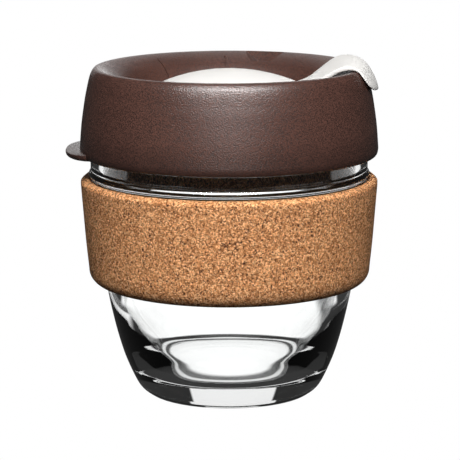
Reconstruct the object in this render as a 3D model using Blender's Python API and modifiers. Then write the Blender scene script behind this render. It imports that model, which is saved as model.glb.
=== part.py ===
"""Reusable glass cup with a cork band, a push-on lid and a soft swivel plug.

Metres, +Z up. The origin is the centre of the cup's flat foot and the Z axis is
the cup's own axis. The drinking side, with the plug's arm, points along +X.
"""

import math

import bmesh
import bpy
from mathutils import Matrix, Vector

MM = 0.001
SEGMENTS = 48
MERGE = 0.00001
GAP = 0.3

# Heights above the table, in millimetres.
FLOOR_Z = 6.8
CORK_BOTTOM_Z = 33.2
CORK_TOP_Z = 64.8
LID_BOTTOM_Z = 71.2
GLASS_RIM_Z = 87.6
CREST_Z = 97.1

# Radii, in millimetres.
FOOT_RADIUS = 24.6
GLASS_RIM_RADIUS = 40.7
CORK_RADIUS = 43.85
CORK_CHAMFER = 1.3
LID_RADIUS = 44.0
CREST_RADIUS = 38.7

# The lid's bowl, and the plug that turns in it.
BOWL_FLOOR_Z = 86.6
BOWL_FLOOR_THICKNESS = 1.8
BOWL_FLOOR_EDGE = 25.4
PIVOT_HOLE_RADIUS = 3.3
DISC_RADIUS = 25.0
DOME_TOP_Z = 96.1
DOME_SPHERE_RADIUS = 52.4
DOME_THICKNESS = 1.8
HINGE_X = 20.0
HINGE_Z = 92.3
ARM_ROOT_HALF_WIDTH = 10.1
ARM_EDGE = 0.4
ARM_CROWN_SHARE = 0.55
RIM_CURVE_RADIUS = 44.0

# The thumb tab, the drinking hole and the parking recess.
TAB_REACH = 48.2
TAB_HALF_ANGLE = 20.0
TAB_THICKNESS = 1.8
HOLE_INNER_X = 24.6
HOLE_OUTER_X = 30.4
HOLE_HALF_WIDTH = 5.6
HOLE_CORNER = 1.8
HOLE_CLEARANCE = 0.35
PAD_INNER_Z = 87.6
PAD_SLOPE = 0.84
VENT_RADIUS = 1.1
VENT_X = -15.0
RECESS_ANGLE = 73.0
RECESS_FLOOR_Z = 94.1
RECESS_BACK_RADIUS = 38.3
RECESS_TOP_HALF_WIDTH = 6.0
RECESS_FLOOR_HALF_WIDTH = 2.1
RECESS_DEPTH = 6.0

# Radii that the thumb tab grows from: the lid's wall, and where the tab's root is buried.
TAB_WALL_RADIUS = 43.2
TAB_ROOT_RADIUS = 42.7

# Heights that a cutter spans to pass right through the bowl's floor or the dome.
CUT_LOW_Z = 80.0
CUT_FLOOR_TOP_Z = 95.0
CUT_HIGH_Z = 99.0


def clear_scene():
    for old in list(bpy.data.objects):
        bpy.data.objects.remove(old)


def new_collection(name):
    made = bpy.data.collections.new(name)
    bpy.context.scene.collection.children.link(made)
    return made


def material(name, colour, roughness, transmission=0.0):
    made = bpy.data.materials.new(name)
    made.use_nodes = True
    shader = made.node_tree.nodes["Principled BSDF"]
    shader.inputs["Base Color"].default_value = (*colour, 1.0)
    shader.inputs["Roughness"].default_value = roughness
    shader.inputs["Metallic"].default_value = 0.0
    shader.inputs["Transmission Weight"].default_value = transmission
    made.diffuse_color = (*colour, 1.0)
    return made


def arc(centre, radius, start, end, steps):
    """Points on an arc, from one angle to another in degrees."""
    points = []
    for i in range(steps + 1):
        angle = math.radians(start + (end - start) * i / steps)
        points.append(
            (centre[0] + radius * math.cos(angle), centre[1] + radius * math.sin(angle))
        )
    return points


def smooth(points, steps):
    """A Catmull-Rom curve through the points, which may have any number of values."""
    ends = [points[0], *points, points[-1]]
    made = []
    for a, b, c, d in zip(ends, ends[1:], ends[2:], ends[3:]):
        for i in range(steps):
            t = i / steps
            made.append(
                tuple(
                    0.5
                    * (
                        2 * q
                        + (r - p) * t
                        + (2 * p - 5 * q + 4 * r - s) * t * t
                        + (3 * q - p - 3 * r + s) * t * t * t
                    )
                    for p, q, r, s in zip(a, b, c, d)
                )
            )
    made.append(points[-1])
    return made


def shade(obj):
    obj.data.shade_smooth()
    obj.data.set_sharp_from_angle(angle=math.radians(35))


def turned(name, profile, closed, home, segments=SEGMENTS):
    """A turned solid from a profile of (radius, height) points in millimetres."""
    mesh = bpy.data.meshes.new(name)
    points = [(r * MM, 0.0, z * MM) for r, z in profile]
    edges = [(i, i + 1) for i in range(len(points) - 1)]
    if closed:
        edges.append((len(points) - 1, 0))
    mesh.from_pydata(points, edges, [])
    obj = bpy.data.objects.new(name, mesh)
    home.objects.link(obj)
    screw = obj.modifiers.new("turn", "SCREW")
    screw.axis = "Z"
    screw.steps = segments
    screw.render_steps = segments
    screw.use_merge_vertices = True
    screw.merge_threshold = MERGE
    screw.use_smooth_shade = True
    return obj


def extruded(name, outline, low, high, home):
    """A flat outline of (x, y) points in millimetres, filled and raised from low to high."""
    curve = bpy.data.curves.new(name, "CURVE")
    curve.dimensions = "2D"
    curve.fill_mode = "BOTH"
    curve.extrude = (high - low) / 2 * MM
    spline = curve.splines.new("POLY")
    spline.points.add(len(outline) - 1)
    for point, (x, y) in zip(spline.points, outline):
        point.co = (x * MM, y * MM, 0.0, 1.0)
    spline.use_cyclic_u = True
    drawn = bpy.data.objects.new(name + "_curve", curve)
    home.objects.link(drawn)
    drawn.location.z = (low + high) / 2 * MM
    bpy.context.view_layer.update()
    graph = bpy.context.evaluated_depsgraph_get()
    mesh = bpy.data.meshes.new_from_object(drawn.evaluated_get(graph))
    work = bmesh.new()
    work.from_mesh(mesh)
    bmesh.ops.remove_doubles(work, verts=work.verts, dist=MERGE)
    bmesh.ops.recalc_face_normals(work, faces=work.faces)
    work.to_mesh(mesh)
    work.free()
    obj = bpy.data.objects.new(name, mesh)
    home.objects.link(obj)
    obj.matrix_world = drawn.matrix_world
    bpy.data.objects.remove(drawn)
    return obj


def lofted(name, rings, home):
    """A closed solid through rings of points, which all have the same number of points."""
    work = bmesh.new()
    rows = [[work.verts.new(Vector(p) * MM) for p in ring] for ring in rings]
    count = len(rings[0])
    for near, far in zip(rows, rows[1:]):
        for i in range(count):
            j = (i + 1) % count
            work.faces.new((near[i], near[j], far[j], far[i]))
    work.faces.new(rows[0])
    work.faces.new(rows[-1])
    bmesh.ops.recalc_face_normals(work, faces=work.faces)
    mesh = bpy.data.meshes.new(name)
    work.to_mesh(mesh)
    work.free()
    obj = bpy.data.objects.new(name, mesh)
    home.objects.link(obj)
    return obj


def as_cutter(obj):
    obj.hide_render = True
    obj.display_type = "WIRE"
    return obj


def combine(obj, tool, operation):
    """Adds an exact Boolean of obj and tool, and makes the tool a cutter."""
    step = obj.modifiers.new(tool.name, "BOOLEAN")
    step.operation = operation
    step.solver = "EXACT"
    step.object = as_cutter(tool)


def move_origin(obj, x, y, z):
    """Puts the object's origin on its joint, in millimetres, without moving its shape."""
    place = Vector((x, y, z)) * MM
    obj.data.transform(Matrix.Translation(-place))
    obj.location = place


def make_glass(parts):
    inner_wall = smooth(
        [
            (18.4, FLOOR_Z),
            (20.2, FLOOR_Z + 0.35),
            (21.8, FLOOR_Z + 1.3),
            (23.1, FLOOR_Z + 2.8),
            (25.3, 13.2),
            (27.8, 17.6),
            (30.2, 23.2),
            (32.1, 30.0),
            (34.6, 45.0),
            (37.0, 60.0),
            (GLASS_RIM_RADIUS - 3.2, 72.0),
        ],
        2,
    )
    rim = arc((GLASS_RIM_RADIUS - 1.6, GLASS_RIM_Z - 1.6), 1.6, 180, 0, 6)
    outer_wall = smooth(
        [
            (GLASS_RIM_RADIUS + 0.1, 76.0),
            (GLASS_RIM_RADIUS + 0.22, 67.4),
            (GLASS_RIM_RADIUS + 0.62, 66.25),
            (GLASS_RIM_RADIUS + 0.75, 65.75),
            (GLASS_RIM_RADIUS + 0.62, 65.25),
            (GLASS_RIM_RADIUS + 0.2, 64.0),
            (40.0, 56.0),
            (38.1, 42.0),
            (36.2, 30.2),
            (34.05, 20.3),
            (32.0, 13.0),
            (30.2, 8.2),
            (28.0, 3.5),
            (26.5, 1.4),
            (FOOT_RADIUS, 0.0),
        ],
        2,
    )
    profile = [(0.0, FLOOR_Z), *inner_wall, *rim, *outer_wall, (0.0, 0.0)]
    glass = turned("glass_cup", profile, False, parts)
    glass.data.materials.append(material("clear_glass", (0.93, 0.95, 0.95), 0.03, 1.0))
    return glass


def make_cork(parts):
    outer = [
        (CORK_RADIUS - CORK_CHAMFER, CORK_TOP_Z),
        (CORK_RADIUS - 0.1, CORK_TOP_Z - CORK_CHAMFER + 0.1),
        (CORK_RADIUS, CORK_TOP_Z - CORK_CHAMFER - 0.4),
        (43.3, 55.4),
        (42.55, 45.8),
        (41.85, 38.8),
    ]
    corner = arc((37.8, 37.2), 3.9, 0, -82, 5)
    inner = [
        (37.05 + GAP, CORK_BOTTOM_Z + 0.3),
        (38.1 + GAP, 42.0),
        (40.0 + GAP, 56.0),
        (GLASS_RIM_RADIUS + 0.25 + GAP, CORK_TOP_Z),
    ]
    band = turned("cork_band", [*outer, *corner, *inner], True, parts)
    band.data.materials.append(material("cork", (0.43, 0.22, 0.10), 0.85))
    return band


def make_lid_shell(parts, cutters):
    """An inverted channel that the glass rim sits in, round a funnel with a flat floor."""
    floor_under = BOWL_FLOOR_Z - BOWL_FLOOR_THICKNESS
    outer = smooth(
        [
            (CREST_RADIUS, CREST_Z),
            (39.5, 96.85),
            (40.1, 96.15),
            (40.65, 95.1),
            (41.2, 93.3),
            (41.7, 91.1),
            (42.45, 87.3),
            (43.45, 80.3),
            (LID_RADIUS, 73.2),
        ],
        2,
    )
    hem = [
        (LID_RADIUS - 0.15, LID_BOTTOM_Z + 0.95),
        (LID_RADIUS - 0.5, LID_BOTTOM_Z + 0.35),
        (LID_RADIUS - 1.2, LID_BOTTOM_Z),
        (42.3, LID_BOTTOM_Z),
    ]
    channel = [
        (GLASS_RIM_RADIUS + 0.5, 82.0),
        (GLASS_RIM_RADIUS + 0.45, GLASS_RIM_Z + GAP),
        (39.6, GLASS_RIM_Z + GAP),
        (39.1, 94.2),
        (38.5, 94.2),
        (36.7, GLASS_RIM_Z),
    ]
    skirt = [
        (36.6, 84.9),
        (37.2, 84.3),
        (36.6, 83.7),
        (36.5, 81.6),
        (37.15, 81.0),
        (36.4, 80.2),
        (35.2, 80.2),
        (34.8, 84.0),
        (34.7, 92.6),
        (34.3, 92.9),
    ]
    pocket = [
        (33.6, 92.4),
        (32.5, 91.5),
        (30.8, 89.0),
        (30.0, 87.6),
        (29.0, 86.2),
        (27.4, 85.1),
        (26.0, floor_under),
    ]
    floor = [
        (PIVOT_HOLE_RADIUS, floor_under),
        (PIVOT_HOLE_RADIUS, BOWL_FLOOR_Z),
        (BOWL_FLOOR_EDGE, BOWL_FLOOR_Z),
    ]
    bowl_wall = [
        (26.5, 86.85),
        (27.5, 87.5),
        (28.4, 88.6),
        (29.2, 89.9),
        (30.1, 91.4),
        (31.2, 92.8),
        (32.4, 93.95),
        (33.7, 94.9),
        (35.0, 95.7),
        (36.3, 96.35),
        (37.6, 96.85),
    ]
    profile = [*outer, *hem, *channel, *skirt, *pocket, *floor, *bowl_wall]
    lid = turned("lid_shell", profile, True, parts)
    lid.data.materials.append(material("lid_plastic", (0.105, 0.062, 0.052), 0.5))

    tab = extruded(
        "thumb_tab", tab_outline(), LID_BOTTOM_Z, LID_BOTTOM_Z + TAB_THICKNESS, cutters
    )
    combine(lid, tab, "UNION")
    hole = extruded(
        "drinking_hole", hole_outline(0.0), CUT_LOW_Z, CUT_FLOOR_TOP_Z, cutters
    )
    combine(lid, hole, "DIFFERENCE")
    vent_outline = arc((VENT_X, 0.0), VENT_RADIUS, 0, 337.5, 15)
    vent = extruded("vent_hole", vent_outline, CUT_LOW_Z, CUT_FLOOR_TOP_Z, cutters)
    combine(lid, vent, "DIFFERENCE")
    combine(lid, recess_cutter(cutters), "DIFFERENCE")
    return lid


def tab_outline():
    """A rounded tab past the lid's wall at -X, with its inner side buried in the wall."""
    steps = 14
    outer = []
    for i in range(steps + 1):
        share = 2 * i / steps - 1
        reach = (TAB_REACH - TAB_WALL_RADIUS) * (1 - abs(share) ** 3.5) ** 0.6
        angle = math.radians(180 + share * TAB_HALF_ANGLE)
        radius = TAB_WALL_RADIUS + reach
        outer.append((radius * math.cos(angle), radius * math.sin(angle)))
    inner = arc(
        (0.0, 0.0), TAB_ROOT_RADIUS, 180 + TAB_HALF_ANGLE, 180 - TAB_HALF_ANGLE, 5
    )
    return [*outer, *inner]


def hole_outline(margin):
    """The drinking hole's rounded outline, grown by a margin."""
    near = HOLE_INNER_X + HOLE_CORNER
    far = HOLE_OUTER_X - HOLE_CORNER
    side = HOLE_HALF_WIDTH - HOLE_CORNER
    corners = ((far, side), (near, side), (near, -side), (far, -side))
    points = []
    for i, corner in enumerate(corners):
        points += arc(corner, HOLE_CORNER + margin, 90 * i, 90 * i + 90, 3)
    return points


def recess_cutter(cutters):
    """A wedge that notches the bowl's wall just below the crest."""
    outline = [
        (-RECESS_TOP_HALF_WIDTH - 0.6, CREST_Z + 0.3),
        (-RECESS_FLOOR_HALF_WIDTH, RECESS_FLOOR_Z),
        (RECESS_FLOOR_HALF_WIDTH, RECESS_FLOOR_Z),
        (RECESS_TOP_HALF_WIDTH + 0.6, CREST_Z + 0.3),
    ]
    wedge = extruded("parking_recess", outline, 0.0, RECESS_DEPTH, cutters)
    turn = Matrix.Rotation(math.radians(RECESS_ANGLE - 90), 4, "Z")
    stand = Matrix.Rotation(math.radians(90), 4, "X")
    push = Matrix.Translation((0.0, (RECESS_BACK_RADIUS - RECESS_DEPTH / 2) * MM, 0.0))
    wedge.matrix_world = turn @ push @ stand
    return wedge


def make_plug_disc(parts, cutters):
    """A domed shell on a stem that snaps through the lid's centre hole."""
    centre_z = DOME_TOP_Z - DOME_SPHERE_RADIUS
    edge = 90 - math.degrees(math.asin((DISC_RADIUS - 1.0) / DOME_SPHERE_RADIUS))
    dome = arc((0.0, centre_z), DOME_SPHERE_RADIUS, 90, edge, 7)[1:]
    under_radius = DOME_SPHERE_RADIUS - DOME_THICKNESS
    under_edge = 90 - math.degrees(math.asin((DISC_RADIUS - 2.4) / under_radius))
    under_stem = 90 - math.degrees(math.asin(4.2 / under_radius))
    under = arc((0.0, centre_z), under_radius, under_edge, under_stem, 4)
    bottom = BOWL_FLOOR_Z + GAP
    bead_top = BOWL_FLOOR_Z - BOWL_FLOOR_THICKNESS - GAP
    profile = [
        (0.0, DOME_TOP_Z),
        *dome,
        (DISC_RADIUS - 0.1, dome[-1][1] - 0.9),
        (DISC_RADIUS, bottom + 0.4),
        (DISC_RADIUS - 0.4, bottom),
        (DISC_RADIUS - 1.7, bottom),
        *under,
        (PIVOT_HOLE_RADIUS - GAP, 92.6),
        (PIVOT_HOLE_RADIUS - GAP, bead_top),
        (PIVOT_HOLE_RADIUS + 0.6, bead_top - 0.5),
        (PIVOT_HOLE_RADIUS - 0.9, bead_top - 2.3),
        (0.0, bead_top - 2.3),
    ]
    disc = turned("plug_disc", profile, False, parts)
    disc.data.materials.append(material("plug_cream", (0.86, 0.83, 0.78), 0.45))
    half = ARM_ROOT_HALF_WIDTH + GAP
    notch = extruded(
        "arm_root_notch",
        [(HINGE_X, -half), (HINGE_X + 8, -half), (HINGE_X + 8, half), (HINGE_X, half)],
        CUT_LOW_Z,
        CUT_HIGH_Z,
        cutters,
    )
    combine(disc, notch, "DIFFERENCE")
    return disc


def arm_stations():
    """The arm's top line: x, z, thickness, half width, sag and how far it follows the rim."""
    return smooth(
        [
            (HINGE_X + GAP, HINGE_Z - 0.05, 1.7, ARM_ROOT_HALF_WIDTH, 0.1, 0.0),
            (23.6, 93.6, 1.8, 10.1, 0.3, 0.2),
            (28.0, 96.9, 1.9, 11.4, 0.5, 0.5),
            (32.0, 99.2, 2.0, 13.0, 0.5, 0.8),
            (35.7, 99.95, 2.0, 14.0, 0.5, 1.0),
            (38.4, 99.3, 1.6, 14.3, 0.35, 1.0),
            (40.6, 97.7, 1.15, 14.5, 0.15, 1.0),
            (42.25, 95.2, 1.0, 14.3, 0.1, 1.0),
            (43.1, 93.4, 0.95, 13.3, 0.1, 1.0),
            (43.6, 92.0, 0.9, 11.2, 0.1, 1.0),
            (43.82, 91.1, 0.85, 8.2, 0.05, 1.0),
            (43.9, 90.6, 0.8, 4.5, 0.0, 1.0),
        ],
        3,
    )


def arm_ring(station, before, after):
    """One closed section of the arm, square to its top line, crowned and with a soft edge."""
    x, z, thick, half, sag, follow = station
    along = Vector((after[0] - before[0], 0.0, after[1] - before[1])).normalized()
    out = Vector((-along.z, 0.0, along.x))
    flat = half - ARM_EDGE
    crown = ARM_CROWN_SHARE * thick
    steps = 8
    shares = [2 * i / steps - 1 for i in range(steps + 1)]
    middle = (crown + thick + sag) / 2
    section = [(share * flat, crown * share * share) for share in shares]
    section.append((half, middle))
    section += [(share * flat, thick + sag * share * share) for share in reversed(shares)]
    section.append((-half, middle))
    points = []
    for y, drop in section:
        bend = follow * (RIM_CURVE_RADIUS - math.sqrt(RIM_CURVE_RADIUS**2 - y * y))
        points.append(Vector((x - bend, y, z)) - out * drop)
    return points


def arm_middle(stations, x):
    """The height of the arm's middle at x, short of its crest."""
    for near, far in zip(stations, stations[1:]):
        if near[0] <= x <= far[0]:
            share = (x - near[0]) / (far[0] - near[0])
            return near[1] + (far[1] - near[1]) * share - near[2] / 2
    raise ValueError("x is past the arm")


def make_plug_arm(parts, cutters):
    """The hinged arm: it bridges the bowl, passes over the crest and hooks down outside."""
    stations = arm_stations()
    befores = [stations[0], *stations[:-1]]
    afters = [*stations[1:], stations[-1]]
    rings = [arm_ring(*three) for three in zip(stations, befores, afters)]
    arm = lofted("plug_arm", rings, parts)
    arm.data.materials.append(bpy.data.materials["plug_cream"])
    outline = hole_outline(HOLE_CLEARANCE)
    inner_x = HOLE_INNER_X - HOLE_CLEARANCE
    base = [(x, y, PAD_INNER_Z + PAD_SLOPE * (x - inner_x)) for x, y in outline]
    head = [(x, y, arm_middle(stations, x)) for x, y in outline]
    pad = lofted("arm_pad", [base, head], cutters)
    combine(arm, pad, "UNION")
    move_origin(arm, HINGE_X, 0.0, HINGE_Z)
    return arm


def main():
    clear_scene()
    parts = new_collection("glass_cup_with_cork_band")
    cutters = new_collection("cutters")
    made = [
        make_glass(parts),
        make_cork(parts),
        make_lid_shell(parts, cutters),
        make_plug_disc(parts, cutters),
        make_plug_arm(parts, cutters),
    ]
    for obj in made:
        shade(obj)


main()
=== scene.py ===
"""Looks of the reusable glass cup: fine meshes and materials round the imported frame.

The object's shapes are in millimetres until they reach a mesh, and angles are in degrees from
+X. Materials and the studio are laid out in metres.
"""

import math

import bmesh
import bpy
from mathutils import Matrix, Vector


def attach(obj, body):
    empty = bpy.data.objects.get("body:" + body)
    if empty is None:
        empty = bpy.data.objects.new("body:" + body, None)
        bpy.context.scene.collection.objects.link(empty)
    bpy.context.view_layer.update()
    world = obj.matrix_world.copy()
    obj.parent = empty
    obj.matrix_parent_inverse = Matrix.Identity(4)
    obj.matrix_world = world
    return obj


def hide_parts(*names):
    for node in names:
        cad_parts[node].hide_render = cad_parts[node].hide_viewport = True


MM = 0.001
TURNED_SEGMENTS = 288
DISC_SEGMENTS = 192

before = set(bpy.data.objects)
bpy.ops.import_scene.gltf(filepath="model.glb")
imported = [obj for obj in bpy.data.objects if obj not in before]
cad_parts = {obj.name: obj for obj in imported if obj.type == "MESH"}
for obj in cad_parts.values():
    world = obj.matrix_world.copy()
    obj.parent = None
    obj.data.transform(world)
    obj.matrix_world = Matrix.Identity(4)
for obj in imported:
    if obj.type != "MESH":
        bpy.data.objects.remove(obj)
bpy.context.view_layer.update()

# The design's own sizes, repeated from the CAD model.
FLOOR_Z = 6.8
CORK_BOTTOM_Z = 33.2
CORK_TOP_Z = 64.8
LID_BOTTOM_Z = 71.2
GLASS_RIM_Z = 87.6
CREST_Z = 97.1
FOOT_RADIUS = 24.6
GLASS_RIM_RADIUS = 40.7
GLASS_RIM_ROUND = 1.6
CORK_RADIUS = 43.85
LID_RADIUS = 44.0
CREST_RADIUS = 38.7
BOWL_FLOOR_Z = 86.6
BOWL_FLOOR_THICKNESS = 1.8
PIVOT_HOLE_RADIUS = 3.3
DISC_RADIUS = 25.0
DISC_THICKNESS = 1.8
DOME_TOP_Z = 96.1
DOME_SPHERE_RADIUS = 52.4
HINGE_X = 20.0
HINGE_Z = 92.3
ARM_ROOT_HALF_WIDTH = 10.1
PAD_INNER_X = 24.25
PAD_INNER_Z = 87.6
PAD_SLOPE = 0.84
VENT_X = -15.0
VENT_RADIUS = 1.1
GAP = 0.3


# ---------------------------------------------------------------- outlines


def arc(centre, radius, start, end, steps):
    """Points on an arc, from one angle to another in degrees."""
    points = []
    for i in range(steps + 1):
        angle = math.radians(start + (end - start) * i / steps)
        x = centre[0] + radius * math.cos(angle)
        points.append((x, centre[1] + radius * math.sin(angle)))
    return points


def smooth(points, steps):
    """A Catmull-Rom curve through the points, which may have any number of values."""
    ends = [points[0], *points, points[-1]]
    made = []
    for a, b, c, d in zip(ends, ends[1:], ends[2:], ends[3:]):
        for i in range(steps):
            t = i / steps
            made.append(tuple(spline_value(*four, t) for four in zip(a, b, c, d)))
    made.append(points[-1])
    return made


def spline_value(p, q, r, s, t):
    """The value a share t of the way from q to r, on the spline through all four."""
    square = (2 * p - 5 * q + 4 * r - s) * t * t
    cube = (3 * q - p - 3 * r + s) * t * t * t
    return 0.5 * (2 * q + (r - p) * t + square + cube)


# ---------------------------------------------------------------- meshes


def add_object(name, work):
    """Turns a bmesh into a smooth object in the scene."""
    bmesh.ops.recalc_face_normals(work, faces=work.faces)
    mesh = bpy.data.meshes.new(name)
    work.to_mesh(mesh)
    work.free()
    mesh.shade_smooth()
    obj = bpy.data.objects.new(name, mesh)
    bpy.context.scene.collection.objects.link(obj)
    return obj


def turned(name, profile, closed, reshape=None, segments=TURNED_SEGMENTS):
    """A turned solid from a profile of (radius, height) that runs down its outer side.

    A profile that isn't closed starts and ends on the axis. reshape takes (radius, height,
    angle) and gives the point's new radius and height.
    """
    work = bmesh.new()
    columns = []
    for i in range(segments):
        angle = 2 * math.pi * i / segments
        column = []
        for radius, height in profile:
            if radius == 0.0:
                column.append(None)
                continue
            if reshape:
                radius, height = reshape(radius, height, math.degrees(angle))
            x, y = radius * math.cos(angle) * MM, radius * math.sin(angle) * MM
            column.append(work.verts.new((x, y, height * MM)))
        columns.append(column)
    poles = {
        k: work.verts.new((0.0, 0.0, height * MM))
        for k, (radius, height) in enumerate(profile)
        if radius == 0.0
    }
    count = len(profile)
    spans = [(k, k + 1) for k in range(count - 1)]
    if closed:
        spans.append((count - 1, 0))
    for i in range(segments):
        here, there = columns[i], columns[(i + 1) % segments]
        for a, b in spans:
            corners = [here[a] or poles[a], here[b] or poles[b]]
            corners += [there[b] or poles[b], there[a] or poles[a]]
            work.faces.new(list(dict.fromkeys(corners)))
    return add_object(name, work)


def lofted(name, rings):
    """A closed solid through rings of points, which all have the same number of points."""
    work = bmesh.new()
    rows = [[work.verts.new(Vector(p) * MM) for p in ring] for ring in rings]
    count = len(rings[0])
    for near, far in zip(rows, rows[1:]):
        for i in range(count):
            j = (i + 1) % count
            work.faces.new((near[i], near[j], far[j], far[i]))
    work.faces.new(rows[0])
    work.faces.new(rows[-1])
    return add_object(name, work)


CUT_LOW_Z = 80.0
CUT_HIGH_Z = 99.0


def upright(name, outline):
    """A prism over an outline of (x, y) points, from under the lid's floor to above its crest."""
    return lofted(name, [[(x, y, z) for x, y in outline] for z in (CUT_LOW_Z, CUT_HIGH_Z)])


def apply_boolean(obj, tool, operation="DIFFERENCE"):
    """Applies an exact Boolean and removes the tool."""
    step = obj.modifiers.new("cut", "BOOLEAN")
    step.operation = operation
    step.solver = "EXACT"
    step.object = tool
    bpy.context.view_layer.update()
    graph = bpy.context.evaluated_depsgraph_get()
    mesh = bpy.data.meshes.new_from_object(obj.evaluated_get(graph))
    obj.modifiers.clear()
    obj.data = mesh
    bpy.data.objects.remove(tool)


def finish_surface(obj, crease, material):
    """Smooths the object up to creases of so many degrees and gives it its material."""
    obj.data.shade_smooth()
    obj.data.set_sharp_from_angle(angle=math.radians(crease))
    obj.data.materials.append(material)


# ---------------------------------------------------------------- shader nodes


class Graph:
    """A short way to build a tree of shader nodes."""

    def __init__(self, tree):
        self.tree = tree

    def add(self, kind, **values):
        """Adds a node and sets its properties."""
        node = self.tree.nodes.new(kind)
        for key, value in values.items():
            setattr(node, key, value)
        return node

    def feed(self, node, **values):
        """Gives each named input of a node another node's output or a constant."""
        for key, value in values.items():
            self.fill(node.inputs[key.replace("_", " ")], value)

    def fill(self, socket, value):
        if isinstance(value, bpy.types.NodeSocket):
            self.tree.links.new(value, socket)
        else:
            socket.default_value = value

    def math(self, operation, *values):
        node = self.add("ShaderNodeMath", operation=operation)
        for socket, value in zip(node.inputs, values):
            self.fill(socket, value)
        return node.outputs[0]

    def fold(self, operation, first, *others):
        """One operation over several values, such as their product."""
        for other in others:
            first = self.math(operation, first, other)
        return first

    def split(self, vector):
        """The x, y and z of a vector."""
        node = self.add("ShaderNodeSeparateXYZ")
        self.feed(node, Vector=vector)
        return [node.outputs[axis] for axis in "XYZ"]

    def between(self, value, low, high, soft):
        """1 where the value lies from low to high, with soft edges."""
        edges = []
        for edge, side in ((low, soft), (high, -soft)):
            node = self.add("ShaderNodeMapRange", interpolation_type="SMOOTHSTEP")
            self.feed(node, Value=value, From_Min=edge - side, From_Max=edge + side)
            edges.append(node.outputs["Result"])
        return self.math("MULTIPLY", *edges)


class Surface(Graph):
    """A material whose nodes feed one Principled shader.

    The CAD frame has plain materials of the same names, so a piece is given its material
    itself and never looks one up by its name.
    """

    def __init__(self, name):
        self.material = bpy.data.materials.new(name)
        self.material.use_nodes = True
        super().__init__(self.material.node_tree)
        self.place = self.add("ShaderNodeTexCoord").outputs["Object"]

    def noise(self, scale, detail=2.0, roughness=0.5):
        node = self.add("ShaderNodeTexNoise")
        self.feed(node, Scale=scale, Detail=detail, Roughness=roughness, Vector=self.place)
        return node.outputs["Fac"]

    def cells(self, scale, output):
        """Random cells: the Distance from each one's centre, or a Color for each one."""
        node = self.add("ShaderNodeTexVoronoi", feature="F1")
        self.feed(node, Scale=scale, Vector=self.place)
        return node.outputs[output]

    def ramp(self, source, stops):
        """Colours or greys at places along a ramp."""
        node = self.add("ShaderNodeValToRGB")
        bar = node.color_ramp
        while len(bar.elements) < len(stops):
            bar.elements.new(0.5)
        for element, (at, value) in zip(bar.elements, stops):
            element.position = at
            colour = value if isinstance(value, tuple) else (value, value, value)
            element.color = (*colour, 1.0)
        self.feed(node, Fac=source)
        return node.outputs["Color"]

    def height_ramp(self, stops):
        """Greys at heights above the table in millimetres, up to 100."""
        height = self.math("MULTIPLY", self.split(self.place)[2], 1 / (100 * MM))
        return self.ramp(height, [(at / 100, value) for at, value in stops])

    def mix(self, share, first, second, blend="MIX"):
        """Mixes two colours, each an output or a constant."""
        node = self.add("ShaderNodeMix", data_type="RGBA", blend_type=blend)
        sockets = {(s.name, s.type): s for s in node.inputs}
        self.fill(sockets["Factor", "VALUE"], share)
        for key, value in (("A", first), ("B", second)):
            colour = (*value, 1.0) if isinstance(value, tuple) else value
            self.fill(sockets[key, "RGBA"], colour)
        return next(s for s in node.outputs if s.type == "RGBA")

    def shade(self, colour, factor):
        """Multiplies a colour by another, which may be a grey."""
        return self.mix(1.0, colour, factor, "MULTIPLY")

    def bump(self, height, distance, strength, under=None):
        """Bumps of so many metres, on top of the bumps under them."""
        node = self.add("ShaderNodeBump")
        self.feed(node, Distance=distance, Strength=strength, Height=height)
        if under:
            self.feed(node, Normal=under)
        return node.outputs["Normal"]

    def done(self, **values):
        """Feeds the shader and gives the finished material."""
        self.feed(self.tree.nodes["Principled BSDF"], **values)
        return self.material


# ---------------------------------------------------------------- materials


def glass_material():
    """Clear pressed glass: a faint slow ripple from the mould and a few fine seeds."""
    surface = Surface("clear_glass")
    waves = surface.bump(surface.noise(45.0, detail=1.0), 0.00025, 0.6)
    seeds = surface.ramp(surface.cells(160.0, "Distance"), [(0.0, 1.0), (0.035, 0.0)])
    wear = surface.ramp(surface.noise(30.0, detail=4.0), [(0.45, 0.0), (0.8, 0.03)])
    return surface.done(
        Base_Color=(0.985, 0.992, 0.99, 1.0),
        Roughness=wear,
        IOR=1.5,
        Transmission_Weight=1.0,
        Normal=surface.bump(seeds, 0.00005, 0.5, under=waves),
    )


def lid_material():
    """Dark brown plastic with a fine spark-eroded grain, and painted shade that darkens it towards
    its hem.
    """
    surface = Surface("lid_plastic")
    grain = surface.noise(2800.0, detail=1.0)
    blotch = surface.noise(60.0, detail=3.0)
    browns = [(0.3, (0.074, 0.033, 0.025)), (0.7, (0.088, 0.040, 0.030))]
    colour = surface.ramp(blotch, browns)
    colour = surface.shade(colour, surface.ramp(grain, [(0.38, 0.50), (0.62, 1.55)]))
    # Painted shade: the wall darkens towards the hem, where less light falls.
    colour = surface.shade(colour, surface.height_ramp([(71.0, 0.42), (80.0, 1.0)]))
    return surface.done(
        Base_Color=colour,
        Roughness=surface.ramp(grain, [(0.36, 0.42), (0.64, 0.26)]),
        Specular_IOR_Level=0.5,
        Normal=surface.bump(grain, 0.00010, 0.9),
    )


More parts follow.
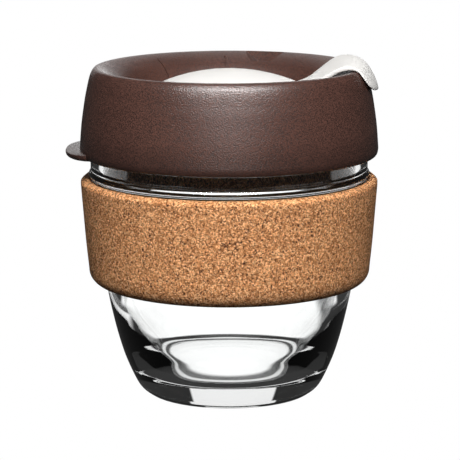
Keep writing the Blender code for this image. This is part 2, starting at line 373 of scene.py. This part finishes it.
def cork_material():
    """Pressed cork: tan granules, darker seams between them and near black specks, with painted
    shade on the lower corner and a painted highlight on the top bevel.
    """
    surface = Surface("cork")
    tone = surface.add("ShaderNodeSeparateColor")
    surface.feed(tone, Color=surface.cells(2100.0, "Color"))
    tans = [
        (0.0, (0.30, 0.108, 0.034)),
        (0.25, (0.53, 0.222, 0.080)),
        (0.6, (0.71, 0.325, 0.132)),
        (1.0, (0.95, 0.530, 0.255)),
    ]
    granules = surface.ramp(tone.outputs["Red"], tans)
    fine = surface.noise(2600.0, roughness=0.6)
    seams = surface.ramp(fine, [(0.30, 0.35), (0.5, 0.98), (0.70, 1.5)])
    specks = surface.noise(1500.0, roughness=0.6)
    clear = surface.ramp(specks, [(0.36, 0.0), (0.42, 1.0)])
    colour = surface.mix(clear, (0.060, 0.016, 0.006), surface.shade(granules, seams))
    # Painted shade over the rounded lower corner, where little light reaches.
    corner_painted_shade = surface.height_ramp([(33.5, 0.38), (39.5, 1.0)])
    # Painted light: the top bevel is lightened where it faces up into the light.
    bevel_painted_light = surface.height_ramp([(63.0, 1.0), (63.4, 1.3)])
    colour = surface.shade(surface.shade(colour, corner_painted_shade), bevel_painted_light)
    height = surface.math("ADD", fine, surface.math("MULTIPLY", specks, 0.8))
    return surface.done(
        Base_Color=colour,
        Roughness=0.85,
        Specular_IOR_Level=0.25,
        Normal=surface.bump(height, 0.0004, 0.8),
    )


def plug_material():
    """Cream soft elastomer with a matte skin."""
    surface = Surface("plug_rubber")
    grain = surface.noise(1800.0)
    creams = [(0.3, (0.908, 0.888, 0.857)), (0.7, (0.935, 0.916, 0.884))]
    return surface.done(
        Base_Color=surface.ramp(surface.noise(90.0), creams),
        Roughness=surface.ramp(grain, [(0.3, 0.80), (0.7, 0.90)]),
        Specular_IOR_Level=0.5,
        Normal=surface.bump(grain, 0.00002, 0.5),
    )


# ---------------------------------------------------------------- glass


def make_glass():
    """The cup: a thick base, a bead above the cork and a rounded rim."""
    inner_wall = smooth(
        [
            (18.4, FLOOR_Z),
            (20.2, FLOOR_Z + 0.35),
            (21.8, FLOOR_Z + 1.3),
            (23.1, FLOOR_Z + 2.8),
            (25.3, 13.2),
            (27.8, 17.6),
            (30.2, 23.2),
            (32.1, 30.0),
            (34.6, 45.0),
            (37.0, 60.0),
            (GLASS_RIM_RADIUS - 2 * GLASS_RIM_ROUND, 72.0),
        ],
        8,
    )
    rim_centre = (GLASS_RIM_RADIUS - GLASS_RIM_ROUND, GLASS_RIM_Z - GLASS_RIM_ROUND)
    rim = arc(rim_centre, GLASS_RIM_ROUND, 180, 0, 16)
    bead = [
        (GLASS_RIM_RADIUS + 0.22, 67.4),
        (GLASS_RIM_RADIUS + 0.32, 66.75),
        (GLASS_RIM_RADIUS + 0.62, 66.25),
        (GLASS_RIM_RADIUS + 0.75, 65.75),
        (GLASS_RIM_RADIUS + 0.62, 65.25),
        (GLASS_RIM_RADIUS + 0.32, 64.75),
        (GLASS_RIM_RADIUS + 0.2, 64.0),
    ]
    outer_wall = smooth(
        [
            (GLASS_RIM_RADIUS + 0.1, 76.0),
            (GLASS_RIM_RADIUS + 0.2, 70.0),
            *bead,
            (GLASS_RIM_RADIUS - 0.1, 61.5),
            (40.0, 56.0),
            (38.1, 42.0),
            (36.2, 30.2),
            (34.05, 20.3),
            (32.0, 13.0),
            (30.2, 8.2),
            (28.0, 3.5),
            (26.5, 1.4),
            (FOOT_RADIUS, 0.0),
        ],
        8,
    )
    floor = [(radius, FLOOR_Z) for radius in (0.0, 4.0, 8.0, 12.0, 16.0)]
    foot = [(radius, 0.0) for radius in (23.0, 18.0, 12.0, 6.0, 0.0)]
    glass = turned("glass_body", [*floor, *inner_wall, *rim, *outer_wall, *foot], False)
    finish_surface(glass, 50, glass_material())
    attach(glass, "cup")
    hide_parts("glass_cup")


# ---------------------------------------------------------------- cork


def make_cork():
    """The grip band: a bevelled top edge, a waisted side and a rounded lower corner."""
    top = [
        (41.25, CORK_TOP_Z - 0.65),
        (41.5, CORK_TOP_Z - 0.35),
        (42.4, CORK_TOP_Z - 0.3),
        (42.8, CORK_TOP_Z - 0.4),
        (43.6, CORK_TOP_Z - 1.05),
        (CORK_RADIUS - 0.02, CORK_TOP_Z - 1.35),
        (CORK_RADIUS, CORK_TOP_Z - 1.7),
    ]
    side = smooth(
        [
            (CORK_RADIUS - 0.02, CORK_TOP_Z - 2.5),
            (43.3, 55.4),
            (42.55, 45.8),
            (41.85, 38.8),
        ],
        14,
    )
    corner = arc((37.8, 37.2), 3.9, 0, -82, 12)
    inner = smooth(
        [
            (37.05 + GAP, CORK_BOTTOM_Z + 0.3),
            (38.1 + GAP, 42.0),
            (40.0 + GAP, 56.0),
            (GLASS_RIM_RADIUS + 0.25 + GAP, CORK_TOP_Z - 0.6),
        ],
        5,
    )
    cork = turned("cork_sleeve", [*top, *side, *corner, *inner], True)
    finish_surface(cork, 40, cork_material())
    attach(cork, "band")
    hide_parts("cork_band")


# ---------------------------------------------------------------- lid

TAB_REACH = 48.2
TAB_HALF_ANGLE = 20.0
TAB_THICKNESS = 1.8
TAB_EDGE_SHARE = 0.14

# The bowl's wall, from just inside the crest down to the floor beside the plug.
BOWL_WALL = [
    (37.6, 96.85),
    (36.3, 96.35),
    (35.0, 95.7),
    (33.7, 94.9),
    (32.4, 93.95),
    (31.2, 92.8),
    (30.1, 91.4),
    (29.2, 89.9),
    (28.4, 88.6),
    (27.5, 87.5),
    (26.5, 86.85),
    (25.4, BOWL_FLOOR_Z),
]


def tab_shape(radius, height, angle):
    """Pulls the lid's hem out into the thumb tab at 180 degrees, with a rounded edge."""
    share = (angle - 180.0) / TAB_HALF_ANGLE
    if abs(share) >= 1 or radius < 42.5 or height > LID_BOTTOM_Z + TAB_THICKNESS:
        return radius, height
    reach = (TAB_REACH - LID_RADIUS + 0.1) * (1 - abs(share) ** 3.5) ** 0.6
    level = abs(2 * (height - LID_BOTTOM_Z) / TAB_THICKNESS - 1)
    bulge = (1 - level**3) ** (1 / 3) if level < 0.999 else 0.0
    return radius + reach * (1 - TAB_EDGE_SHARE + TAB_EDGE_SHARE * bulge), height


RECESS_ANGLE = 73.0
RECESS_FLOOR_Z = 94.1
RECESS_BACK_RADIUS = 38.3
RECESS_DEPTH = 5.0
RECESS_TOP_HALF_WIDTH = 6.6
RECESS_FLOOR_HALF_WIDTH = 2.1

# Two fine lines across the bowl's wall: the angle and width of each.
GROOVES = [(92.0, 0.5), (128.0, 0.25)]


def recess_tool():
    """A wedge that notches the bowl's wall just below the crest."""
    top, floor = RECESS_TOP_HALF_WIDTH, RECESS_FLOOR_HALF_WIDTH
    corners = [
        (-top, CREST_Z + 0.3),
        (-floor, RECESS_FLOOR_Z),
        (floor, RECESS_FLOOR_Z),
        (top, CREST_Z + 0.3),
    ]
    ends = (RECESS_BACK_RADIUS - RECESS_DEPTH, RECESS_BACK_RADIUS)
    tool = lofted("recess_tool", [[(x, y, z) for x, z in corners] for y in ends])
    tool.data.transform(Matrix.Rotation(math.radians(RECESS_ANGLE - 90), 4, "Z"))
    return tool


def groove_tool(angle, width):
    """A thin blade whose lower edge runs just under the bowl's wall."""
    blade = [(29.9, 90.2), (31.4, 92.0), (33.5, 93.9), (35.6, 95.4), (35.2, 96.6), (28.5, 91.0)]
    rings = [[(radius, y, z) for radius, z in blade] for y in (-width / 2, width / 2)]
    tool = lofted("groove_tool", rings)
    tool.data.transform(Matrix.Rotation(math.radians(angle), 4, "Z"))
    return tool


HOLE_X = 27.5
HOLE_ROUND = 1.8
HOLE_CORNER_X = 1.1
HOLE_CORNER_Y = 3.8


def hole_outline():
    """The drinking hole: a slot across the arm, with rounded corners."""
    points = []
    for turn, (side_x, side_y) in enumerate(((1, 1), (-1, 1), (-1, -1), (1, -1))):
        centre = (HOLE_X + side_x * HOLE_CORNER_X, side_y * HOLE_CORNER_Y)
        points += arc(centre, HOLE_ROUND, 90 * turn, 90 * turn + 90, 8)
    return points


def make_lid():
    """One hollow moulding: outer wall, hem with its tab, glass channel, ribs and bowl."""
    floor_under = BOWL_FLOOR_Z - BOWL_FLOOR_THICKNESS
    outer = smooth(
        [
            (CREST_RADIUS, CREST_Z),
            (39.5, 96.85),
            (40.1, 96.15),
            (40.65, 95.1),
            (41.2, 93.3),
            (41.7, 91.1),
            (42.45, 87.3),
            (43.45, 80.3),
            (LID_RADIUS, 73.4),
        ],
        8,
    )
    hem = [
        (LID_RADIUS - 0.01, LID_BOTTOM_Z + TAB_THICKNESS + 0.15),
        (LID_RADIUS - 0.02, LID_BOTTOM_Z + TAB_THICKNESS),
        (LID_RADIUS - 0.03, LID_BOTTOM_Z + 1.7),
        (LID_RADIUS - 0.06, LID_BOTTOM_Z + 1.45),
        (LID_RADIUS - 0.12, LID_BOTTOM_Z + 1.1),
        (LID_RADIUS - 0.25, LID_BOTTOM_Z + 0.7),
        (LID_RADIUS - 0.5, LID_BOTTOM_Z + 0.35),
        (LID_RADIUS - 0.85, LID_BOTTOM_Z + 0.12),
        (LID_RADIUS - 1.3, LID_BOTTOM_Z),
        (LID_RADIUS - 1.7, LID_BOTTOM_Z),
        (LID_RADIUS - 2.0, LID_BOTTOM_Z + 0.5),
    ]
    channel = [
        (GLASS_RIM_RADIUS + 0.5, 82.0),
        (GLASS_RIM_RADIUS + 0.45, GLASS_RIM_Z + GAP),
        (39.6, GLASS_RIM_Z + GAP),
        (39.1, 94.2),
        (38.5, 94.2),
        (36.7, GLASS_RIM_Z),
    ]
    ribbed_skirt = [
        (36.6, 84.9),
        (37.2, 84.3),
        (36.6, 83.7),
        (36.5, 81.6),
        (37.15, 81.0),
        (36.4, 80.2),
        (35.2, 80.2),
        (34.8, 84.0),
        (34.7, 92.6),
        (34.3, 92.9),
    ]
    under_bowl = smooth(
        [
            (33.6, 92.4),
            (32.5, 91.5),
            (31.65, 90.4),
            (30.8, 89.0),
            (30.0, 87.6),
            (29.0, 86.2),
            (27.4, 85.1),
            (26.0, floor_under),
        ],
        4,
    )
    floor = [(PIVOT_HOLE_RADIUS, floor_under)]
    floor += [(radius, BOWL_FLOOR_Z) for radius in (PIVOT_HOLE_RADIUS, 12.0, 22.0)]
    bowl = smooth([*reversed(BOWL_WALL), (CREST_RADIUS, CREST_Z)], 8)[:-1]
    profile = [*outer, *hem, *channel, *ribbed_skirt, *under_bowl, *floor, *bowl]
    lid = turned("lid_moulding", profile, True, reshape=tab_shape)
    apply_boolean(lid, recess_tool())
    for angle, width in GROOVES:
        apply_boolean(lid, groove_tool(angle, width))
    apply_boolean(lid, upright("hole_tool", hole_outline()))
    apply_boolean(lid, upright("vent_tool", arc((VENT_X, 0.0), VENT_RADIUS, 0, 350, 35)))
    finish_surface(lid, 38, lid_material())
    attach(lid, "lid")
    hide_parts("lid_shell")


# ---------------------------------------------------------------- plug


def make_plug_disc(rubber):
    """A thin dome on a stem that snaps into the lid, notched for the arm's root."""
    centre = (0.0, DOME_TOP_Z - DOME_SPHERE_RADIUS)
    under_sphere = DOME_SPHERE_RADIUS - DISC_THICKNESS

    def angle_at(radius, sphere):
        return 90 - math.degrees(math.asin(radius / sphere))

    dome = arc(centre, DOME_SPHERE_RADIUS, 90, angle_at(DISC_RADIUS - 1, DOME_SPHERE_RADIUS), 30)
    inner_edge = angle_at(DISC_RADIUS - 2.4, under_sphere)
    under = arc(centre, under_sphere, inner_edge, angle_at(4.2, under_sphere), 8)
    bottom = BOWL_FLOOR_Z + GAP
    dome_end_z = dome[-1][1]
    shoulder = smooth(
        [
            dome[-1],
            (DISC_RADIUS - 0.35, dome_end_z - 0.35),
            (DISC_RADIUS - 0.05, dome_end_z - 0.9),
            (DISC_RADIUS, bottom + 0.6),
        ],
        5,
    )
    foot = [
        (DISC_RADIUS - 0.15, bottom + 0.2),
        (DISC_RADIUS - 0.4, bottom),
        (DISC_RADIUS - 1.7, bottom),
    ]
    barb_top = BOWL_FLOOR_Z - BOWL_FLOOR_THICKNESS - GAP
    stem = [
        (PIVOT_HOLE_RADIUS - GAP, 92.6),
        (PIVOT_HOLE_RADIUS - GAP, barb_top),
        (PIVOT_HOLE_RADIUS + 0.6, barb_top - 0.5),
        (PIVOT_HOLE_RADIUS - 0.9, barb_top - 2.3),
        (0.0, barb_top - 2.3),
    ]
    profile = [(0.0, DOME_TOP_Z), *dome[1:], *shoulder[1:], *foot, *under, *stem]
    disc = turned("plug_dome", profile, False, segments=DISC_SEGMENTS)
    half = ARM_ROOT_HALF_WIDTH + GAP
    far = HINGE_X + 8
    notch = [(HINGE_X, -half), (far, -half), (far, half), (HINGE_X, half)]
    apply_boolean(disc, upright("notch_tool", notch))
    finish_surface(disc, 40, rubber)
    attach(disc, "plug")
    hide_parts("plug_disc")


RIM_CURVE_RADIUS = 44.0
ARM_EDGE_RADIUS = 0.4
ARM_CROWN_SHARE = 0.55
PAD_GROWTH_X = 1.12
PAD_GROWTH_Y = 1.06


def arm_stations(steps):
    """The arm's top line: x, z, thickness, half width, sag and how far it follows the rim."""
    return smooth(
        [
            (HINGE_X + GAP, HINGE_Z - 0.05, 1.7, ARM_ROOT_HALF_WIDTH, 0.1, 0.0),
            (23.6, 93.6, 1.8, 10.1, 0.3, 0.2),
            (28.0, 96.6, 1.9, 11.4, 0.5, 0.5),
            (32.0, 98.8, 2.0, 12.9, 0.5, 0.8),
            (35.7, 99.8, 2.0, 13.9, 0.5, 1.0),
            (38.4, 99.3, 1.6, 14.3, 0.35, 1.0),
            (40.6, 97.7, 1.15, 14.5, 0.15, 1.0),
            (42.25, 95.2, 1.0, 14.3, 0.1, 1.0),
            (43.1, 93.4, 0.95, 13.3, 0.1, 1.0),
            (43.6, 92.0, 0.9, 11.2, 0.1, 1.0),
            (43.82, 91.1, 0.85, 8.2, 0.05, 1.0),
            (43.9, 90.6, 0.8, 4.5, 0.0, 1.0),
        ],
        steps,
    )


def arm_section(thick, half, sag):
    """The arm's section as (y, drop): a crowned top, rounded edges and a sagging underside."""
    flat = half - ARM_EDGE_RADIUS
    crown = ARM_CROWN_SHARE * thick
    steps = 24
    shares = [math.sin(math.pi / 2 * (2 * i / steps - 1)) for i in range(steps + 1)]
    edge = []
    for k in range(1, 10):
        turn = math.radians(18 * k)
        drop = crown + (thick + sag - crown) * (1 - math.cos(turn)) / 2
        edge.append((flat + ARM_EDGE_RADIUS * math.sin(turn), drop))
    top = [(share * flat, crown * share * share) for share in shares]
    under = [(share * flat, thick + sag * share * share) for share in reversed(shares)]
    return [*top, *edge, *under, *((-y, drop) for y, drop in reversed(edge))]


def arm_ring(station, before, after):
    """One closed section of the arm, square to its top line and bent to follow the rim."""
    x, z, thick, half, sag, follow = station
    along = Vector((after[0] - before[0], 0.0, after[1] - before[1])).normalized()
    out = Vector((-along.z, 0.0, along.x))
    points = []
    for y, drop in arm_section(thick, half, sag):
        bend = follow * (RIM_CURVE_RADIUS - math.sqrt(RIM_CURVE_RADIUS**2 - y * y))
        points.append(Vector((x - bend, y, z)) - out * drop)
    return points


def arm_middle(stations, x):
    """The height of the arm's middle at x, short of its crest."""
    for near, far in zip(stations, stations[1:]):
        if near[0] <= x <= far[0]:
            share = (x - near[0]) / (far[0] - near[0])
            return near[1] + (far[1] - near[1]) * share - near[2] / 2
    raise ValueError("x is past the arm")


def make_plug_arm(rubber):
    """The hinged arm, with the pad that stands above the drinking hole."""
    stations = arm_stations(8)
    befores = [stations[0], *stations[:-1]]
    afters = [*stations[1:], stations[-1]]
    rings = [arm_ring(*three) for three in zip(stations, befores, afters)]
    arm = lofted("plug_lever", rings)
    pad = [(HOLE_X + (x - HOLE_X) * PAD_GROWTH_X, y * PAD_GROWTH_Y) for x, y in hole_outline()]
    base = [(x, y, PAD_INNER_Z + PAD_SLOPE * (x - PAD_INNER_X)) for x, y in pad]
    head = [(x, y, arm_middle(stations, x)) for x, y in pad]
    apply_boolean(arm, lofted("pad_tool", [base, head]), "UNION")
    finish_surface(arm, 50, rubber)
    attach(arm, "arm")
    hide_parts("plug_arm")


# ---------------------------------------------------------------- studio

# What the glass shows of the studio.
SWEEP_LIGHT = 1.14
SIDE_LIGHT = 0.035
REAR_LIGHT = 0.05
FLOOR_LIGHT = 1.22
CARD_LIGHT = 0.04

# What the other surfaces get from it.
SWEEP_SHINE = 1.1
HORIZON_SHINE = 2.4
SIDE_SHINE = 0.05
BOUNCE_LIGHT = 0.05

CAMERA_PLACE = (0.00022, -0.6730, 0.1810)
CAMERA_DOWN = 11.172
CAMERA_ROLL = -0.124
CAMERA_LENS = 180.5

# The lit disc and ring under the base are ellipses, so that the glass shows them as it should
# from the camera.
RING_CENTRE_Y = 0.0071
RING_SQUASH = 1.28
RING_LIGHT_SHARE = 0.8

ENDLESS = 9.0


def make_camera():
    """The photograph's view: a long lens a little above the rim, looking slightly down."""
    data = bpy.data.cameras.new("camera")
    data.lens = CAMERA_LENS
    data.sensor_width = 36.0
    camera = bpy.data.objects.new("camera", data)
    bpy.context.scene.collection.objects.link(camera)
    camera.location = CAMERA_PLACE
    pitch = Matrix.Rotation(math.radians(90 - CAMERA_DOWN), 4, "X")
    roll = Matrix.Rotation(math.radians(CAMERA_ROLL), 4, "Z")
    camera.rotation_euler = (pitch @ roll).to_euler()
    bpy.context.scene.camera = camera


def light_level(graph, through_glass, elsewhere):
    """White to the lens, one level to rays through the glass and another to all the rest."""
    path = graph.add("ShaderNodeLightPath")
    lens = path.outputs["Is Camera Ray"]
    fresh = graph.math("LESS_THAN", path.outputs["Diffuse Depth"], 0.5)
    through = graph.math("MULTIPLY", path.outputs["Is Transmission Ray"], fresh)
    rest = graph.math("SUBTRACT", 1.0, graph.math("ADD", through, lens))
    level = graph.math("MULTIPLY_ADD", through, through_glass, lens)
    return graph.math("MULTIPLY_ADD", rest, elsewhere, level)


def lit_floor(graph, x, y):
    """1 where the floor is lit, as the glass shows it, and 0 where dark cards lie.

    Each patch is a list of bands that it has to lie in: value, low, high and edge softness.
    """
    side = graph.math("ABSOLUTE", x)
    away = graph.math("MULTIPLY", graph.math("SUBTRACT", y, RING_CENTRE_Y), RING_SQUASH)
    squares = [graph.math("MULTIPLY", length, length) for length in (x, away)]
    reach = graph.math("SQRT", graph.math("ADD", *squares))
    under = graph.between(reach, -1.0, 0.0212, 0.001)
    ring = graph.between(reach, 0.0245, 0.0272, 0.0007)
    ring = graph.math("MULTIPLY", ring, RING_LIGHT_SHARE)
    patches = [
        [(x, -0.065, 0.042, 0.004), (y, 0.015, ENDLESS, 0.006), (reach, 0.034, ENDLESS, 0.0015)],
        [(x, -0.06, 0.06, 0.006), (y, -0.14, -0.042, 0.006)],
        [(side, 0.080, 0.20, 0.006), (y, -0.2, 0.045, 0.006)],
        [(side, 0.20, ENDLESS, 0.01), (y, 0.02, ENDLESS, 0.01)],
    ]
    lit = [graph.fold("MULTIPLY", *(graph.between(*band) for band in patch)) for patch in patches]
    return graph.fold("MAXIMUM", under, ring, *lit)


def make_floor():
    """A pale floor: white paper to the lens; through glass, a lit strip between dark cards."""
    bpy.ops.mesh.primitive_plane_add(size=8.0)
    floor = bpy.context.object
    floor.name = "floor"
    floor.location.z = -0.0002
    material = bpy.data.materials.new("floor_paper")
    material.use_nodes = True
    graph = Graph(material.node_tree)
    graph.tree.nodes.clear()
    x, y, _ = graph.split(graph.add("ShaderNodeTexCoord").outputs["Object"])
    seen = graph.math("MULTIPLY_ADD", lit_floor(graph, x, y), FLOOR_LIGHT - CARD_LIGHT, CARD_LIGHT)
    ahead = graph.between(x, -0.06, 0.06, 0.03)
    distant = graph.math("MULTIPLY", ahead, graph.between(y, 0.20, ENDLESS, 0.03))
    bounce = graph.math("MULTIPLY_ADD", distant, HORIZON_SHINE, BOUNCE_LIGHT)
    glow = graph.add("ShaderNodeEmission")
    graph.feed(glow, Strength=light_level(graph, seen, bounce))
    graph.feed(graph.add("ShaderNodeOutputMaterial"), Surface=glow.outputs[0])
    floor.data.materials.append(material)


def make_world():
    """White to the lens; to the object, a lit sweep behind it and dark sides."""
    world = bpy.data.worlds.new("studio")
    bpy.context.scene.world = world
    world.use_nodes = True
    graph = Graph(world.node_tree)
    graph.tree.nodes.clear()
    x, y, z = graph.split(graph.add("ShaderNodeTexCoord").outputs["Generated"])
    turn = graph.math("MULTIPLY", graph.math("ARCTAN2", x, y), 180 / math.pi)
    sweep = graph.between(turn, -20, 16.5, 0.7)
    rear = graph.between(graph.math("ABSOLUTE", turn), 125, 200, 12)
    low = graph.between(z, -1.0, 0.13, 0.02)
    horizon = graph.math("MULTIPLY", graph.between(turn, -4, 4, 1), low)
    seen = graph.math("MULTIPLY_ADD", sweep, SWEEP_LIGHT, SIDE_LIGHT)
    seen = graph.math("MULTIPLY_ADD", rear, REAR_LIGHT, seen)
    shine = graph.math("MULTIPLY_ADD", sweep, SWEEP_SHINE, SIDE_SHINE)
    shine = graph.math("MULTIPLY_ADD", horizon, HORIZON_SHINE, shine)
    sky = graph.add("ShaderNodeBackground")
    graph.feed(sky, Strength=light_level(graph, seen, shine))
    graph.feed(graph.add("ShaderNodeOutputWorld"), Surface=sky.outputs[0])


def area_light(name, place, aim_z, size, power, diffuse=True, glossy=True):
    """A soft light that points at a height on the object's axis, and that no lens sees."""
    data = bpy.data.lights.new(name, "AREA")
    data.shape = "RECTANGLE"
    data.size, data.size_y = size
    data.energy = power
    light = bpy.data.objects.new(name, data)
    bpy.context.scene.collection.objects.link(light)
    light.location = place
    aim = Vector((0, 0, aim_z)) - Vector(place)
    light.rotation_euler = aim.to_track_quat("-Z", "Y").to_euler()
    light.visible_camera = False
    light.visible_transmission = False
    light.visible_diffuse = diffuse
    light.visible_glossy = glossy


def make_lights():
    """A soft box for the shading, and two lights that only the gloss shows."""
    area_light("front_box", (0.05, -0.98, 0.80), 0.07, (0.60, 0.40), 20.0, glossy=False)
    area_light("gloss_strip", (0.0, -0.84, 0.915), 0.09, (1.10, 0.18), 38.0, diffuse=False)
    area_light("gloss_fill", (0.0, -1.05, 0.40), 0.08, (0.60, 0.50), 2.6, diffuse=False)


make_camera()
make_floor()
make_world()
make_lights()
bpy.context.scene.view_settings.view_transform = "Standard"
make_glass()
make_cork()
make_lid()
soft_rubber = plug_material()
make_plug_disc(soft_rubber)
make_plug_arm(soft_rubber)
